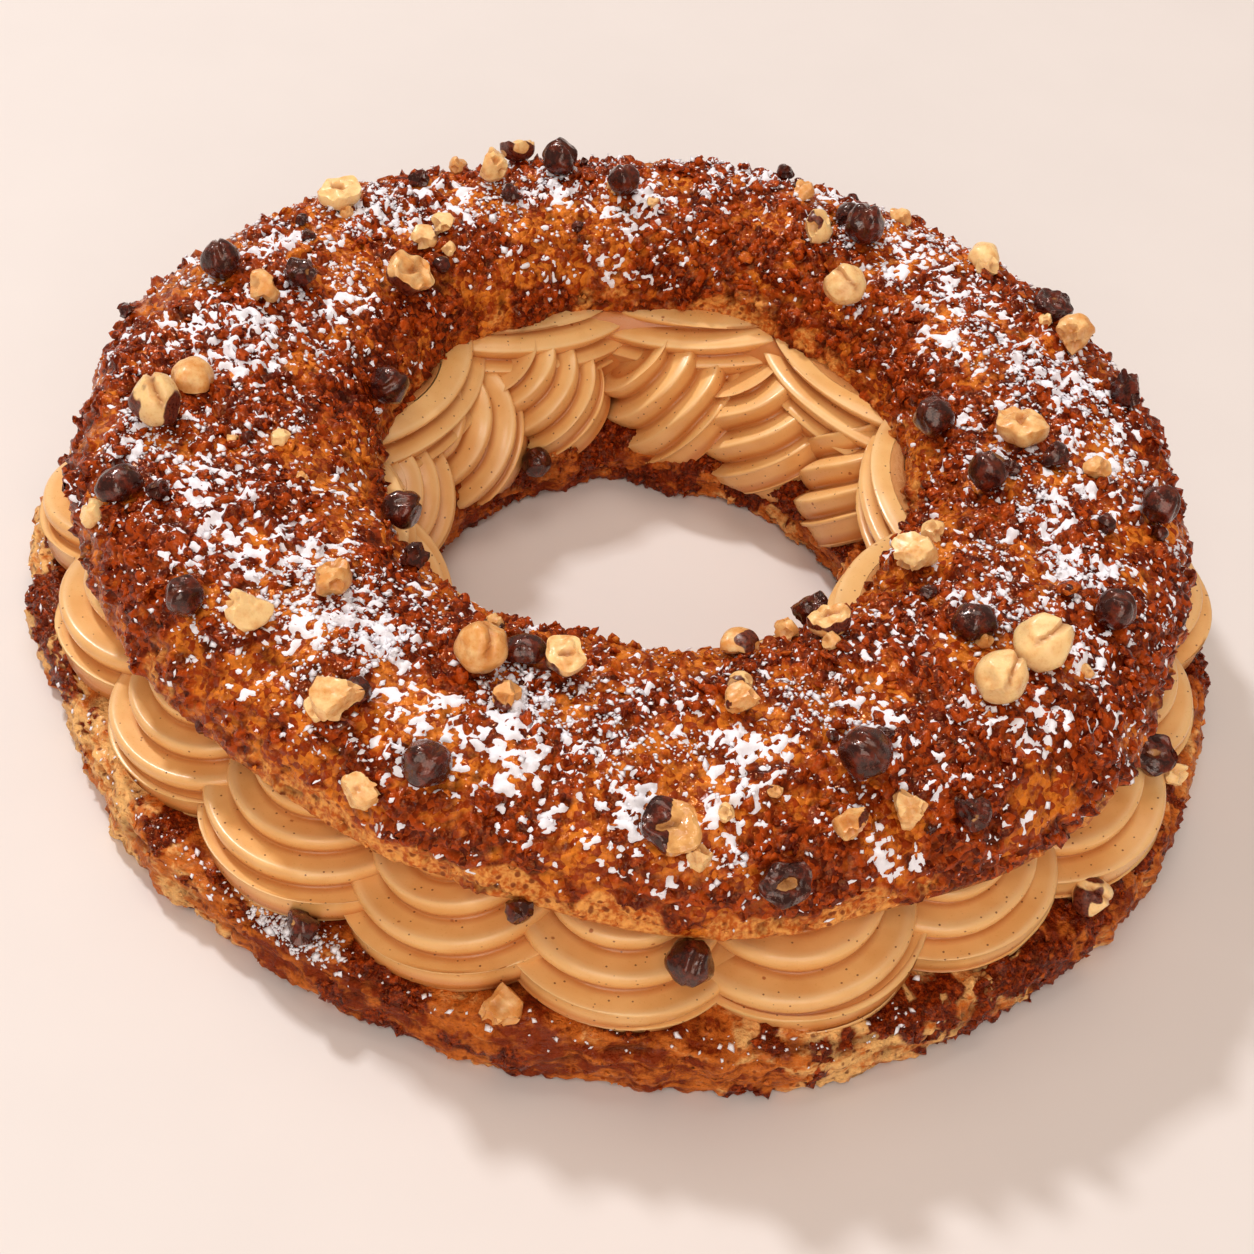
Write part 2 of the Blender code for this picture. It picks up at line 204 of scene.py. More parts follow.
def ball(levels):
    """Points and triangles of a geodesic ball of radius 1."""
    g = (1 + math.sqrt(5)) / 2
    points = [(-1, g, 0), (1, g, 0), (-1, -g, 0), (1, -g, 0), (0, -1, g), (0, 1, g),
              (0, -1, -g), (0, 1, -g), (g, 0, -1), (g, 0, 1), (-g, 0, -1), (-g, 0, 1)]
    faces = [(0, 11, 5), (0, 5, 1), (0, 1, 7), (0, 7, 10), (0, 10, 11), (1, 5, 9), (5, 11, 4), (11, 10, 2),
             (10, 7, 6), (7, 1, 8), (3, 9, 4), (3, 4, 2), (3, 2, 6), (3, 6, 8), (3, 8, 9), (4, 9, 5),
             (2, 4, 11), (6, 2, 10), (8, 6, 7), (9, 8, 1)]
    points = [np.array(p) / math.sqrt(1 + g * g) for p in points]
    for _ in range(levels):
        middle = {}

        def between(a, b):
            key = (min(a, b), max(a, b))
            if key not in middle:
                p = points[a] + points[b]
                points.append(p / np.linalg.norm(p))
                middle[key] = len(points) - 1
            return middle[key]

        split = []
        for a, b, c in faces:
            ab, bc, ca = between(a, b), between(b, c), between(c, a)
            split += [(a, ab, ca), (b, bc, ab), (c, ca, bc), (ab, bc, ca)]
        faces = split
    return np.array(points), np.array(faces)


def frames_from(normals, rng):
    """Axes for scattered things: the last one along each normal, the others spun at random."""
    n = unit(normals)
    side = unit(np.cross(n, [0.31, 0.57, 0.76]))
    other = np.cross(n, side)
    spin = rng.uniform(0, TAU, len(n))[:, None]
    a = side * np.cos(spin) + other * np.sin(spin)
    b = np.cross(n, a)
    return np.stack([a, b, n], -1)


def scatter(shapes, faces, places, axes, sizes, looks, rng):
    """One mesh from many copies, each with one of the shapes, its own axes and its own sizes."""
    pick = rng.integers(0, len(shapes), len(places))
    local = shapes[pick] * sizes[:, None, :]
    points = np.einsum("nij,nvj->nvi", axes, local) + places[:, None, :]
    count = shapes.shape[1]
    all_faces = faces[None] + (np.arange(len(places)) * count)[:, None, None]
    look = np.repeat(looks[:, None, :], count, 1)
    return points.reshape(-1, 3), all_faces.reshape(-1, faces.shape[1]), look.reshape(-1, 4)


def rough_balls(seed):
    """Several lumpy versions of a ball, for crumbs."""
    points, faces = ball(1)
    shapes = []
    for k in range(14):
        moved = points + k * np.array([7.3, 3.1, 5.7])
        shapes.append(points * (1 + noises(moved, (0.6, 0.9, seed), (0.36, 0.4, seed + 1)))[:, None])
    return np.array(shapes), faces


# ---- what the CAD says

def node_tree(name):
    mesh = frame["nodes"][name].data
    points = [Vector(v.co) / MM for v in mesh.vertices]
    return BVHTree.FromPolygons(points, [tuple(p.vertices) for p in mesh.polygons])


def outline(samples):
    """A length that changes smoothly with the azimuth, from the longest waves of its samples."""
    terms = np.fft.rfft(samples)[:21] / len(samples)

    def at(azimuth):
        total = np.full(np.shape(azimuth), terms[0].real)
        for n in range(1, len(terms)):
            total = total + 2 * (terms[n].real * np.cos(n * azimuth) - terms[n].imag * np.sin(n * azimuth))
        return total

    return at


def wall_outlines(tree, height):
    """Inner and outer radius of a CAD ring at one height."""
    inner, outer = [], []
    for azimuth in np.arange(360) * TAU / 360:
        way = Vector((cos(azimuth), sin(azimuth), 0))
        start = Vector((AXIS[0], AXIS[1], height))
        inner.append((tree.ray_cast(start, way)[0] - start).length)
        outer.append((tree.ray_cast(start + way * 200, -way)[0] - start).length)
    return outline(inner), outline(outer)


def crest_outline(tree, inner, outer):
    heights = []
    for azimuth in np.arange(360) * TAU / 360:
        radius = float(inner(azimuth) + outer(azimuth)) / 2
        start = Vector((AXIS[0] + radius * cos(azimuth), AXIS[1] + radius * sin(azimuth), 200))
        heights.append(tree.ray_cast(start, Vector((0, 0, -1)))[0].z)
    return outline(heights)


LID_LOW = (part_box("choux_lid")[0] / MM).z
BASE_TOP = (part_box("choux_base")[1] / MM).z
CREAM_LOW, CREAM_TOP = ((corner / MM).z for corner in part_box("praline_cream"))
# The height at which the lid is widest
LID_RIM = LID_LOW + 2.5
lid_tree = node_tree("choux_lid")
lid_inner, lid_outer = wall_outlines(lid_tree, LID_RIM)
lid_crest = crest_outline(lid_tree, lid_inner, lid_outer)
base_inner, base_outer = wall_outlines(node_tree("choux_base"), BASE_WAIST)


def polar(azimuth, radius, height):
    return np.stack([AXIS[0] + radius * np.cos(azimuth), AXIS[1] + radius * np.sin(azimuth),
                     height + np.zeros_like(azimuth)], -1)


def rounded(value):
    return np.sign(value) * np.abs(value) ** DOME_ROUNDNESS


# ---- materials

def material(name, roughness, build):
    made = bpy.data.materials.new(name)
    made.use_nodes = True
    web = Web(made.node_tree)
    web.shader.inputs["Roughness"].default_value = roughness
    build(web)
    return made


def srgb(r, g, b):
    return tuple(((c / 255 + 0.055) / 1.055) ** 2.4 if c > 10 else c / 255 / 12.92 for c in (r, g, b)) + (1.0,)


class Web:
    """Short ways to add and join shader nodes."""

    def __init__(self, tree):
        self.tree = tree
        self.shader = tree.nodes["Principled BSDF"]
        self.place = self.add("TexCoord").outputs["Object"]
        look = self.add("VertexColor")
        look.layer_name = "Look"
        self.look = list(self.add("SeparateColor", Color=look.outputs["Color"]).outputs)

    def join(self, value, socket):
        if isinstance(value, bpy.types.NodeSocket):
            self.tree.links.new(value, socket)
        else:
            socket.default_value = value

    def add(self, kind, **inputs):
        """A new node with links or values in its inputs, named with underscores for spaces."""
        node = self.tree.nodes.new("ShaderNode" + kind)
        for name, value in inputs.items():
            self.join(value, node.inputs[name.replace("_", " ")])
        return node

    def noise(self, size, detail=3.0, roughness=0.55, stretch=None):
        place = self.add("Mapping", Vector=self.place, Scale=stretch).outputs["Vector"] if stretch else self.place
        node = self.add("TexNoise", Vector=place, Scale=1.0 / (size * MM), Detail=detail, Roughness=roughness)
        return node.outputs["Fac"]

    def cells(self, size):
        return self.add("TexVoronoi", Vector=self.place, Scale=1.0 / (size * MM)).outputs["Distance"]

    def grains(self, size):
        """Distance inside each grain of a crowd, and the grain's own tone."""
        node = self.add("TexVoronoi", Vector=self.place, Scale=1.0 / (size * MM))
        return node.outputs["Distance"], self.add("SeparateColor", Color=node.outputs["Color"]).outputs[0]

    def ramp(self, value, low, high, out_low=0.0, out_high=1.0):
        node = self.add("MapRange", Value=value, From_Min=low, From_Max=high, To_Min=out_low, To_Max=out_high)
        node.interpolation_type = "SMOOTHSTEP"
        return node.outputs["Result"]

    def sum(self, *values, kind="ADD"):
        total = values[0]
        for value in values[1:]:
            node = self.add("Math")
            node.operation = kind
            self.join(total, node.inputs[0])
            self.join(value, node.inputs[1])
            total = node.outputs[0]
        return total

    def times(self, *values):
        return self.sum(*values, kind="MULTIPLY")

    def mix(self, share, a, b):
        node = self.add("Mix")
        node.data_type = "RGBA"
        for socket, value in ((0, share), (6, a), (7, b)):
            self.join(value, node.inputs[socket])
        return node.outputs[2]

    def bump(self, height, distance, strength, **under):
        return self.add("Bump", Height=height, Distance=distance * MM, Strength=strength, **under).outputs["Normal"]

    def finish(self, colour, **others):
        for name, value in {"Base Color": colour, **others}.items():
            self.join(value, self.shader.inputs[name])

    def soften(self, weight, radius, scale):
        inputs = self.shader.inputs
        inputs["Subsurface Weight"].default_value = weight
        inputs["Subsurface Radius"].default_value = radius
        inputs["Subsurface Scale"].default_value = scale * MM

    def glaze(self, level, tint, coat=0.0, coat_roughness=0.15):
        """How strongly it mirrors, the colour of what it mirrors, and a thin clear coat."""
        inputs = self.shader.inputs
        inputs["Specular IOR Level"].default_value = level
        inputs["Specular Tint"].default_value = (*tint, 1.0)
        inputs["Coat Weight"].default_value = coat
        inputs["Coat Roughness"].default_value = coat_roughness


DARK = srgb(86, 14, 2)
BROWN = srgb(174, 65, 13)


def build_crust(web):
    """Look: red is the dark crumb share, green the bare golden share, blue the depth in a crevice, painted as shade."""
    dark, gold, depth_and_shade = web.look
    fine = web.noise(1.0, 4.0, 0.65)
    patch = web.noise(4.0)
    grain, grain_tone = web.grains(1.5)
    mottle = web.sum(web.times(grain_tone, 0.5), web.times(patch, 0.5), web.times(fine, 0.6))
    crumb = web.mix(web.ramp(mottle, 0.62, 0.95), DARK, BROWN)
    amber = web.mix(web.ramp(mottle, 0.62, 0.98), srgb(148, 50, 9), srgb(226, 128, 40))
    crumbly = web.sum(web.times(dark, 0.66), web.times(grain_tone, 0.34), web.times(fine, 0.75))
    colour = web.mix(web.ramp(crumbly, 0.58, 1.14), amber, crumb)
    pits = web.ramp(web.cells(2.3), 0.32, 0.16)
    bare = web.ramp(web.sum(web.times(fine, 0.5), web.times(patch, 0.5)), 0.4, 0.62)
    bare = web.mix(bare, srgb(188, 88, 24), srgb(238, 164, 84))
    bare = web.mix(web.times(pits, 0.85), bare, srgb(112, 38, 8))
    colour = web.mix(web.ramp(web.sum(gold, web.times(patch, 0.5)), 0.55, 0.95), colour, bare)
    # Painted shade: crevices between crumbs and pores darken towards near black.
    colour = web.mix(web.times(depth_and_shade, 0.92), colour, srgb(48, 6, 1))
    first = web.bump(web.noise(1.7, 2.0, 0.5), 0.8, 0.8)
    web.finish(colour, Roughness=web.ramp(web.sum(gold, fine), 0.3, 1.3, 0.14, 0.5),
               Normal=web.bump(web.times(grain, grain), -0.7, 0.7, Normal=first))
    web.glaze(0.4, (1.0, 0.42, 0.15), 0.08, 0.12)


def build_base(web):
    """Look: red is the dark crumb share, green the layer's tone, blue the depth in a crevice or crack, painted as
    shade.
    """
    dark, layer, depth_and_shade = web.look
    fine = web.noise(1.1, 4.0, 0.65)
    patch = web.noise(3.5)
    flakes = web.noise(2.0, 4.0, 0.65, (0.4, 0.4, 1.5))
    crumb = web.mix(web.ramp(fine, 0.4, 0.7), DARK, BROWN)
    tone = web.sum(layer, flakes, web.times(patch, 0.8), web.times(fine, 0.4))
    side = web.mix(web.ramp(tone, 1.05, 1.45), srgb(126, 40, 9), srgb(204, 108, 38))
    side = web.mix(web.ramp(tone, 1.45, 1.85), side, srgb(246, 190, 118))
    pits = web.ramp(web.sum(web.cells(2.4), web.times(fine, 0.15)), 0.34, 0.2)
    side = web.mix(web.times(pits, 0.75), side, srgb(112, 40, 12))
    colour = web.mix(web.ramp(web.sum(dark, web.times(fine, 0.7)), 0.6, 1.1), side, crumb)
    # Painted shade: crevices and cracks between layers darken towards near black.
    colour = web.mix(web.times(depth_and_shade, 0.9), colour, srgb(54, 8, 1))
    first = web.bump(flakes, 1.4, 0.9)
    web.finish(colour, Roughness=web.ramp(web.sum(fine, dark), 0.3, 1.4, 0.5, 0.2),
               Normal=web.bump(web.noise(1.3, 2.0, 0.5), 0.9, 0.9, Normal=first))
    web.glaze(0.38, (1.0, 0.45, 0.18), 0.08, 0.14)


def build_cream(web):
    """Look: red is painted shade in a crease and on a riser, green a painted highlight along the crest of a ridge."""
    depth_and_shade, crest, _ = web.look
    cloud = web.noise(9.0, 2.0)
    fine = web.noise(0.5, 2.0)
    specks = web.ramp(web.cells(2.1), 0.13, 0.08)
    flecks = web.ramp(web.sum(web.cells(7.5), web.times(fine, 0.05)), 0.095, 0.06)
    colour = web.mix(web.ramp(cloud, 0.3, 0.7), srgb(231, 174, 103), srgb(240, 190, 121))
    # Painted highlight along each ridge's crest.
    colour = web.mix(web.times(crest, 0.4), colour, srgb(248, 215, 162))
    # Painted shade in the creases and on the risers.
    colour = web.mix(web.times(depth_and_shade, 0.8), colour, srgb(190, 100, 30))
    colour = web.mix(web.times(specks, 0.85), colour, srgb(104, 50, 22))
    colour = web.mix(web.times(flecks, 0.8), colour, srgb(160, 78, 30))
    web.finish(colour, Roughness=web.ramp(fine, 0.3, 0.7, 0.27, 0.4), Normal=web.bump(web.noise(1.6), 0.08, 0.5))
    web.soften(0.08, (1.0, 0.55, 0.25), 1.0)
    web.glaze(0.45, (1.0, 0.93, 0.85), 0.22, 0.22)


def build_kernel(web):
    """Look: red is the share of skin left, green the depth of a cut or hollow, painted as shade, blue the tone."""
    skin, depth_and_shade, tone = web.look
    fine = web.noise(0.6, 4.0, 0.6)
    patch = web.noise(2.4)
    flesh = web.mix(web.ramp(web.sum(patch, web.times(tone, 0.4)), 0.35, 0.95), srgb(222, 150, 76), srgb(252, 214, 150))
    # Painted shade inside cuts, bites and hollows.
    flesh = web.mix(web.times(depth_and_shade, 0.8), flesh, srgb(160, 80, 26))
    peel = web.mix(web.ramp(fine, 0.35, 0.75), srgb(70, 18, 10), srgb(128, 52, 26))
    colour = web.mix(web.ramp(web.sum(skin, web.times(patch, 0.35)), 0.5, 0.66), flesh, peel)
    web.finish(colour, Roughness=web.ramp(fine, 0.3, 0.7, 0.24, 0.42), Normal=web.bump(fine, 0.15, 0.6))
    web.soften(0.15, (1.0, 0.6, 0.3), 1.2)
    web.glaze(0.4, (1.0, 0.85, 0.7), 0.25, 0.25)


def build_skin(web):
    """Look: red is the share of bare kernel under torn skin, green the depth of a hollow, painted as shade."""
    bare = web.look[0]
    fine = web.noise(0.6, 4.0, 0.6)
    patch = web.noise(2.2)
    peel = web.mix(web.ramp(web.sum(web.times(fine, 0.4), patch), 0.6, 0.95), srgb(40, 10, 8), srgb(104, 34, 17))
    flesh = web.mix(patch, srgb(196, 118, 50), srgb(246, 198, 124))
    colour = web.mix(web.ramp(web.sum(bare, web.times(patch, 0.3)), 0.62, 0.74), peel, flesh)
    # Painted shade in grooves and hollows.
    colour = web.mix(web.times(web.look[1], 0.6), colour, srgb(104, 44, 18))
    web.finish(colour, Roughness=web.ramp(fine, 0.3, 0.7, 0.1, 0.26),
               Normal=web.bump(web.sum(web.noise(1.0, 2.0), patch), 0.4, 0.7))
    web.glaze(0.4, (1.0, 0.6, 0.45), 0.6, 0.13)


def build_sugar(web):
    fine = web.noise(0.35, 2.0)
    web.finish(web.mix(fine, srgb(236, 235, 244), srgb(250, 250, 254)), Normal=web.bump(fine, 0.12, 0.6))
    web.soften(0.2, (1.0, 1.0, 1.0), 0.5)
    web.glaze(0.2, (1.0, 1.0, 1.0))


crust_material = material("caramelised_crust", 0.4, build_crust)
base_material = material("baked_base", 0.5, build_base)
cream_material = material("praline_cream_look", 0.36, build_cream)
kernel_material = material("hazelnut_kernel", 0.4, build_kernel)
skin_material = material("hazelnut_skin", 0.3, build_skin)
sugar_material = material("icing_sugar_look", 0.7, build_sugar)


# ---- lid

def dome_rows():
    """Turns over the dome, from the outer to the inner rim, evenly spaced along its surface."""
    turn = np.linspace(0, pi, 4001)
    r = 29.5 * rounded(np.cos(turn))
    z = 20.5 * rounded(np.sin(turn))
    length = np.concatenate([[0], np.cumsum(np.hypot(np.diff(r), np.diff(z)))])
    return np.interp(np.linspace(0, length[-1], LID_ROWS), length, turn)


def ring_grid(azimuth, rows):
    """A closed grid from each row's radius, height and place across the band, with its azimuths and places."""
    grid = np.array([polar(azimuth, radius, height) for radius, height, _ in rows])
    across = np.array([np.full(len(azimuth), place) for _, _, place in rows])
    return grid, np.tile(azimuth, (len(rows), 1)), across


def lid_grid():
    """The smooth lid: its dome and then its flat underside."""
    azimuth = np.arange(LID_COLUMNS) * TAU / LID_COLUMNS
    inner, outer, crest = lid_inner(azimuth), lid_outer(azimuth), lid_crest(azimuth)
    middle, half = (inner + outer) / 2, (outer - inner) / 2
    rows = []
    for turn in dome_rows():
        share, rise = rounded(np.cos(turn)), rounded(np.sin(turn))
        rows.append((middle + half * share, LID_RIM + (crest - LID_RIM) * rise, share))
    edge = ((0.3, 0.9), (1.4, 1.9), (3.2, 2.45))
    rows += [(inner + inset, LID_RIM - drop, -1.1) for inset, drop in edge]
    rows.append((middle, LID_RIM - 2.5, 0.0))
    rows += [(outer - inset, LID_RIM - drop, 1.1) for inset, drop in reversed(edge)]
    return ring_grid(azimuth, rows)


def crumb_relief(points, seed):
    """Crumbs side by side: their coarse and fine heights, own tones, and how far down between them each point lies, for
    painted shade.
    """
    bent = points + 0.9 * np.stack([noise(points, 3.0, seed + k) for k in (20, 21, 22)], -1)
    near, next_near, own = cells(bent, 3.7, seed)
    coarse = step(0.0, 0.4, next_near - near) * (0.25 + 0.75 * own)
    near2, next2, own2 = cells(bent, 1.9, seed + 5)
    fine = step(0.0, 0.4, next2 - near2) * (0.2 + 0.8 * own2)
    gap = step(0.16, 0.0, next_near - near) * (1 - 0.5 * own) + step(0.14, 0.0, next2 - near2) * 0.5
    return coarse, fine, 0.6 * own + 0.4 * own2 - 0.5, np.clip(gap, 0, 1)


def make_lid():
    grid, azimuth, across = lid_grid()
    rows, columns = grid.shape[:2]
    normal = grid_normals(grid)
    p = grid.reshape(-1, 3)
    a = across.ravel()
    az = azimuth.ravel()
    coarse, fine, own, gap = crumb_relief(p, 10)
    cluster = noises(p, (0.4, 15, 3), (0.5, 7.5, 1), (0.3, 3.4, 2)) + 0.65 * own
    dark = step(-0.34, 0.2, cluster)
    front = step(0.78, 0.95, np.cos(az - radians(270)))
    edge = step(0.968, 1.0, np.abs(a) + 0.03 * noise(p, 7, 11))
    gold = edge * np.where(a > 0, 0.2 + 0.85 * front, 0.3)
    gold = gold + 0.45 * step(0.25, 0.6, noise(p, 13, 4)) * step(0.7, 0.97, np.abs(a))
    gold = np.clip(gold + noises(p, (0.45, 6, 5), (0.35, 2.6, 12)) * edge, 0, 1)
    dark *= 1 - 0.8 * step(0.3, 0.8, gold)
    lump = noises(p, (1.4, 26, 6), (1.1, 12, 7), (0.8, 5.5, 8))
    pores = step(0.5, 0.8, noise(p, 2.4, 9))
    relief = lump - 0.9 + (0.55 + 0.75 * dark) * (1.6 * coarse + 0.7 * fine) - 0.8 * pores * (0.4 + 0.6 * gold)
    top = np.ones((rows, columns))
    top[LID_ROWS:] = 0.0
    top[LID_ROWS - 1] = top[0] = 0.8
    top[LID_ROWS] = top[-1] = 0.5
    final = grid + normal * (relief.reshape(rows, columns) * top)[..., None]
    final[..., 2] = np.maximum(final[..., 2], LID_LOW - 0.2)
    # Painted shade: darker between crumbs and in pores, less so on the golden rim.
    depth_and_shade = np.clip(gap * (0.4 + 0.5 * dark) * (1 - 0.7 * gold) + 0.6 * pores, 0, 1)
    look = shares(dark, gold, depth_and_shade)
    new_piece("lid_crust", final.reshape(-1, 3), grid_faces(rows, columns), look, crust_material,
              ["choux_lid"], "caramelised_choux")
    return final[:LID_ROWS], normal[:LID_ROWS], look.reshape(rows, columns, 4)[:LID_ROWS], across[:LID_ROWS]


lid_final, lid_normal, lid_look, lid_across = make_lid()


def on_lid(degrees, across):
    """Rows and columns on the lid from azimuths in degrees and shares across the band."""
    share = np.clip(np.asarray(across, float), -1, 1)
    order = np.argsort(lid_across[:, 0])
    row = np.interp(share, lid_across[order, 0], np.arange(LID_ROWS)[order])
    return row, np.mod(np.asarray(degrees, float), 360) / 360 * LID_COLUMNS


# ---- base ring

def base_grid():
    """The smooth base: outer wall, top, inner wall and underside."""
    azimuth = np.arange(BASE_COLUMNS) * TAU / BASE_COLUMNS
    inner, outer = base_inner(azimuth), base_outer(azimuth)
    rows = []

    def corner(angles, edge, depth, tall, place):
        for angle in angles:
            c, s = cos(angle) ** 0.8, np.sign(angle) * abs(sin(angle)) ** 0.8
            rows.append((edge - place * depth * (1 - c), BASE_WAIST + tall * s, place))

    corner(np.linspace(-pi / 2, 0, 16, endpoint=False), outer, 3.5, BASE_WAIST, 1.0)
    corner(np.linspace(0, pi / 2, 20), outer, 6.5, BASE_TOP - BASE_WAIST, 1.0)
    rows += [((outer - 6.5) * (1 - share) + (inner + 7.5) * share, BASE_TOP, 0.0) for share in (0.1, 0.4, 0.7, 0.92)]
    corner(np.linspace(pi / 2, 0, 18, endpoint=False), inner, 7.5, BASE_TOP - BASE_WAIST, -1.0)
    corner(np.linspace(0, -pi / 2, 15), inner, 2.0, BASE_WAIST, -1.0)
    rows.append(((inner + outer) / 2, 0.0, 0.0))
    return ring_grid(azimuth, rows)


def make_base():
    grid, azimuth, across = base_grid()
    rows, columns = grid.shape[:2]
    normal = grid_normals(grid)
    p = grid.reshape(-1, 3)
    az = azimuth.ravel()
    coarse, fine, own, gap = crumb_relief(p, 30)
    pale = 0.55 * step(0.72, 0.97, np.cos(az - radians(200))) + 0.35 * step(0.93, 0.99, np.cos(az - radians(298)))
    cluster = noises(p, (0.5, 17, 21), (0.45, 8, 22), (0.3, 4, 23)) + 0.5 * own
    dark = step(-0.12, 0.2, cluster + 0.12 * step(6, 13, p[:, 2]) - 0.2 * pale)
    bent = p + np.array([0, 0, 1.0]) * noises(p, (1.2, 11, 28), (0.5, 4, 29))[:, None]
    layer = strata(bent, 13.0, 2.1, 24)
    finer = strata(bent, 5.0, 1.1, 25)
    ledge = 1 - 2 * np.abs(layer)
    lump = noises(p, (1.1, 20, 26), (1.0, 9, 27), (0.8, 4.0, 31), (0.5, 2.2, 33))
    relief = lump + (0.5 + 0.5 * dark) * (1.3 * coarse + fine) - 0.9
    relief += (1 - dark) * (0.8 * ledge + 0.6 * finer)
    relief *= np.abs(across.ravel())
    final = grid + normal * relief.reshape(rows, columns)[..., None]
    final[..., 2] = np.maximum(final[..., 2], 0.0)
    # Painted shade in the cracks between layers and the gaps between crumbs.
    crack = step(0.5, 0.85, np.abs(layer)) * (1 - dark)
    depth_and_shade = np.clip(gap * (0.3 + 0.5 * dark) + crack * 0.6, 0, 1)
    tone = 0.22 + 0.75 * pale + 0.25 * finer + 0.35 * noise(p, 10, 32)
    look = shares(dark, tone, depth_and_shade)
    new_piece("base_crust", final.reshape(-1, 3), grid_faces(rows, columns), look, base_material,
              ["choux_base"], "baked_choux")
    return final, normal, look.reshape(rows, columns, 4), across


base_final, base_normal, base_look, base_across = make_base()


# ---- cream

RIDGE_ROWS = np.array([0, 0.07, 0.15, 0.24, 0.31, 0.37, 0.43, 0.5, 0.6, 0.72, 0.84, 0.94])


def swirl(middle, face, tilt, radii, belly, height, wide, tiers, climb, riser, lift, bulge, ridge, taper, phase,
          columns, seed):
    """One piped swirl, a closed, stepped body about an upright axis that leans by tilt about its middle.

    face is the azimuth it faces; radii are those of its foot, belly and head; belly is the belly's share of the
    height, taper how late it narrows above that, wide how much broader it is sideways. The nozzle's ridge winds
    round it tiers times and climbs by climb of them a turn: riser is the share of a ridge that stands up, lift how
    far its crest is drawn up, bulge how far its riser swells, ridge how far it stands out.
    """
    # Most columns lie on the side that is seen
    front = int(columns * 0.86)
    spread = radians(122)
    angles = np.concatenate([
        np.linspace(-spread, spread, front), np.linspace(spread, TAU - spread, columns - front + 2)[1:-1]])
    start, end = phase - climb / 2, phase + tiers + climb / 2
    turns = np.concatenate([n + RIDGE_ROWS for n in range(math.floor(start), math.ceil(end))])
    turns = turns[(turns >= start) & (turns <= end)]
    tt, aa = np.meshgrid(turns, angles, indexing="ij")
    shift = -phase + climb * aa / TAU
    ground = np.stack([np.cos(aa) * 14 + seed * 3.7, np.sin(aa) * 14, (tt + shift) * height / tiers], -1).reshape(-1, 3)
    wander = noise(ground, 13, seed).reshape(tt.shape)
    shift = shift + 0.13 * wander
    x = tt - np.floor(tt)
    up_share = np.clip(x / riser, 0, 1)
    in_share = np.clip((x - riser) / (1 - riser), 0, 1)
    reach = 1 + 0.35 * noise(ground, 11, seed + 1).reshape(tt.shape)
    drawn_up = 1 + lift * reach * (1 - in_share) ** 1.3
    climbed = np.where(x < riser, (1 + lift * reach) * np.sin(up_share * pi / 2), drawn_up)
    drawn_in = np.where(x < riser, -bulge * reach * np.sin(up_share * pi) ** 0.8, in_share ** 1.25)
    level = (np.floor(tt) + climbed + shift) / tiers
    level = np.where(level < 0, level * 0.03, np.where(level > 1, 1 + (level - 1) * 0.03, level))
    s = np.clip((np.floor(tt) + drawn_in + shift) / tiers, 0, 1)
    radius = np.where(s < belly, radii[0] + (radii[1] - radii[0]) * np.sin(np.clip(s / belly, 0, 1) * pi / 2),
                      radii[1] - (radii[1] - radii[2]) * np.clip((s - belly) / (1 - belly), 0, 1) ** taper)
    streak = noise(np.stack([tt.ravel() * 7, aa.ravel() * 1.2, np.full(aa.size, seed * 1.7)], -1), 1.0, seed + 2)
    stands_out = np.where(x < riser, np.sin(up_share * pi / 2), np.cos(in_share * pi / 2)) ** 0.8
    radius = radius * (1 + 0.03 * wander) + 0.12 * streak.reshape(tt.shape) + ridge * reach * (stands_out - 0.5)
    px, py = radius * np.cos(aa), radius * np.sin(aa) * wide
    c, s = cos(face), sin(face)
    points = np.stack([px * c - py * s, px * s + py * c, height * (level - 0.5)], -1).reshape(-1, 3) @ np.array(tilt).T
    points = points + middle
    points = np.concatenate([points, [points[:columns].mean(0), points[-columns:].mean(0)]])
    ring = np.arange(columns)
    after = (ring + 1) % columns
    count = tt.size
    top = count - columns
    bottom_cap = np.stack(np.broadcast_arrays(count, after, ring), -1)
    top_cap = np.stack(np.broadcast_arrays(count + 1, top + ring, top + after), -1)
    faces = np.concatenate([to_triangles(grid_faces(len(turns), columns, False)), bottom_cap, top_cap])
    x = x.ravel()
    # Painted shade in the creases; on the risers it is partly a deeper colour and partly painted shade. The crest share
    # is a painted highlight.
    crease = step(0.16, 0.0, x) + step(0.84, 1.0, x)
    depth_and_shade = np.clip(crease + 0.3 * (x < riser) * (1 - x / riser), 0, 1)
    crest = np.exp(-(((x - riser) / 0.1) ** 2))
    return points, faces, np.concatenate([shares(depth_and_shade, crest), shares(np.zeros(2))])


def gather(parts):
    points, faces, looks, shift = [], [], [], 0
    for p, f, look in parts:
        points.append(p)
        faces.append(f + shift)
        looks.append(look)
        shift += len(p)
    return np.concatenate(points), np.concatenate(faces), np.concatenate(looks)


def leaning(azimuth, outward, sideways):
    """Rotation that leans an upright axis outward and toward growing azimuth, by angles in degrees."""
    across = Vector((-sin(azimuth), cos(azimuth), 0))
    along = Vector((cos(azimuth), sin(azimuth), 0))
    return Matrix.Rotation(radians(outward), 3, across) @ Matrix.Rotation(-radians(sideways), 3, along)


def core_ring():
    """The plain body of cream behind the swirls, coloured with painted shade."""
    azimuth = np.arange(180) * TAU / 180
    shape = ((64.0, CREAM_LOW), (112.0, CREAM_LOW), (112.5, 18.0), (107.5, 26.0), (101.0, 34.0),
             (99.0, CREAM_TOP), (67.5, CREAM_TOP + 1.6), (64.5, 37.0), (64.0, 27.0), (61.0, 19.0))
    grid = np.array([polar(azimuth, radius, height) for radius, height in shape])
    faces = to_triangles(grid_faces(len(shape), 180))
    return grid.reshape(-1, 3), faces, shares(np.full(len(shape) * 180, 0.9))


